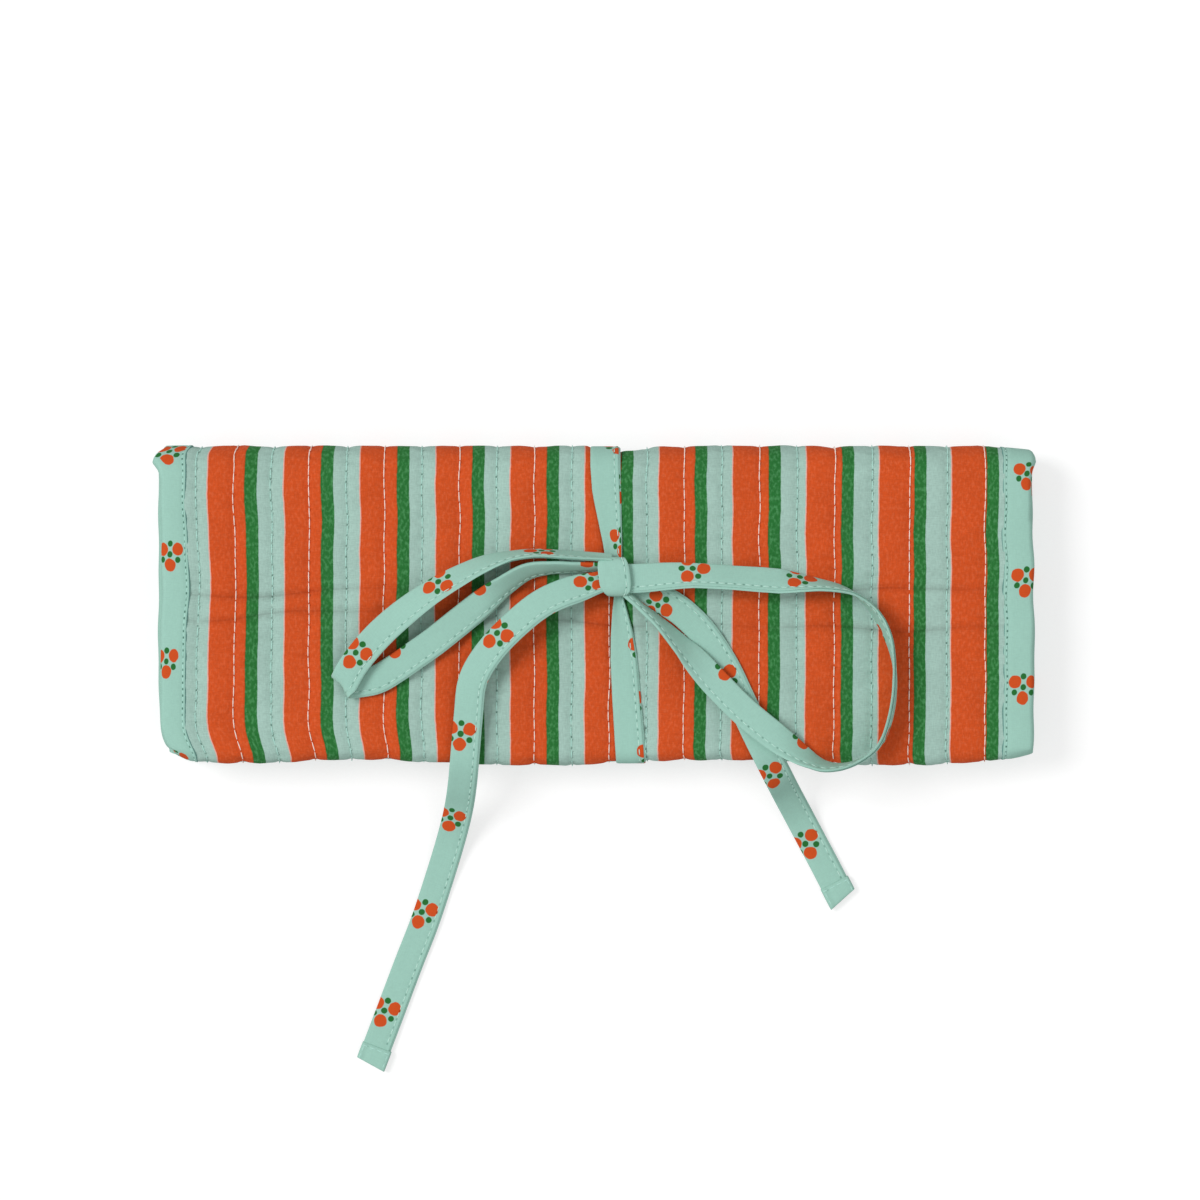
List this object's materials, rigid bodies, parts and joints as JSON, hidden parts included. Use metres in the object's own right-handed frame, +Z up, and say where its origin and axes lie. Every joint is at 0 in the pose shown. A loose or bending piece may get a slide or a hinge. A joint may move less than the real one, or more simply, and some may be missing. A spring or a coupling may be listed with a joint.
{
  "type": "jewelry roll",
  "caption": "Quilted fabric jewelry roll, folded shut and tied with a ribbon bow; it unrolls to a zip pocket, a ring bar with a snap and a patch pocket.",
  "frame": {"origin": "bottom centre of the closed roll, on the surface that it lies on, bow and tails left out", "axes": "+X along the roll, to the right in the picture; +Y to the back fold; +Z up"},
  "size_m": [0.24, 0.1722, 0.0287],
  "materials": {
    "striped_cotton": "woven stripes",
    "binding_cotton": "printed cotton",
    "lining_cotton": "plain cotton",
    "tie_cotton": "printed cotton",
    "wadding": "matt",
    "zip_tape": "woven",
    "zip_coil": "satin",
    "brass": "polished"
  },
  "bodies": {
    "base": {"base_cover": "striped_cotton", "base_wadding": "wadding", "base_lining": "lining_cotton", "base_binding_left": "binding_cotton", "base_binding_right": "binding_cotton", "base_binding_front": "binding_cotton", "pocket_panel_front": "lining_cotton", "pocket_panel_back": "lining_cotton", "zip_tape_front": "zip_tape", "zip_tape_back": "zip_tape", "zip_coil_front": "zip_coil", "zip_coil_back": "zip_coil", "zip_stop_left": "brass", "zip_stop_right": "brass", "tie_front_anchor": "tie_cotton"},
    "zip_slider": {"zip_slider": "brass"},
    "zip_pull": {"zip_pull": "brass"},
    "back_fold": {"back_fold_cover": "striped_cotton", "back_fold_wadding": "wadding", "back_fold_lining": "lining_cotton", "back_fold_binding_left": "binding_cotton", "back_fold_binding_right": "binding_cotton", "tie_back_riser": "tie_cotton"},
    "flap": {"flap_cover": "striped_cotton", "flap_wadding": "wadding", "flap_lining": "lining_cotton", "flap_binding_left": "binding_cotton", "flap_binding_right": "binding_cotton", "ring_bar_anchor": "lining_cotton", "snap_socket": "brass", "tie_back_band": "tie_cotton", "tie_front_band": "tie_cotton", "tie_knot": "tie_cotton", "tie_left_loop": "tie_cotton", "tie_right_loop": "tie_cotton", "tie_left_tail": "tie_cotton", "tie_right_tail": "tie_cotton", "tie_left_tip": "tie_cotton", "tie_right_tip": "tie_cotton"},
    "ring_bar": {"ring_bar_roll": "lining_cotton", "ring_bar_tab": "lining_cotton", "snap_stud": "brass", "snap_cap": "brass"},
    "front_fold": {"front_fold_cover": "striped_cotton", "front_fold_wadding": "wadding", "front_fold_lining": "lining_cotton", "front_fold_binding_left": "binding_cotton", "front_fold_binding_right": "binding_cotton", "tie_front_riser": "tie_cotton"},
    "inner_flap": {"inner_cover": "striped_cotton", "inner_wadding": "wadding", "inner_lining": "lining_cotton", "inner_binding_left": "binding_cotton", "inner_binding_right": "binding_cotton", "inner_binding_end": "binding_cotton", "inner_patch_pocket": "lining_cotton"}
  },
  "joints": [
    {"name": "unroll", "type": "hinge", "parent": "base", "child": "back_fold", "pos_m": [0, 0.043, 0], "axis": [-1, 0, 0], "range_deg": [0, 90], "deforming": ["tie_left_loop", "tie_right_loop", "tie_left_tail", "tie_right_tail", "tie_left_tip", "tie_right_tip"]},
    {"name": "unroll_flap", "type": "hinge", "parent": "back_fold", "child": "flap", "pos_m": [0, 0.043, 0.0189], "axis": [-1, 0, 0], "range_deg": [0, 90]},
    {"name": "unroll_front_fold", "type": "hinge", "parent": "flap", "child": "front_fold", "pos_m": [0, -0.043, 0.0189], "axis": [-1, 0, 0], "range_deg": [0, 90]},
    {"name": "unroll_inner_flap", "type": "hinge", "parent": "front_fold", "child": "inner_flap", "pos_m": [0, -0.043, 0.011], "axis": [-1, 0, 0], "range_deg": [0, 90]},
    {"name": "ring_bar_swing", "type": "hinge", "parent": "flap", "child": "ring_bar", "pos_m": [-0.05, 0.021, 0.0148], "axis": [0, 1, 0], "range_deg": [0, 32.4]},
    {"name": "zip_slide", "type": "slide", "parent": "base", "child": "zip_slider", "axis": [-1, 0, 0], "range_m": [0, 0.19]},
    {"name": "zip_pull_lift", "type": "hinge", "parent": "zip_slider", "child": "zip_pull", "pos_m": [0.0955, 0.008, 0.00775], "axis": [0, 1, 0], "range_deg": [0, 26]}
  ],
  "couplings": [
    {"joint": "unroll_flap", "follows": "unroll", "ratio": 1},
    {"joint": "unroll_front_fold", "follows": "unroll", "ratio": 1},
    {"joint": "unroll_inner_flap", "follows": "unroll", "ratio": 1},
    {"joint": "ring_bar_swing", "follows": "unroll", "ratio": 0.36}
  ]
}
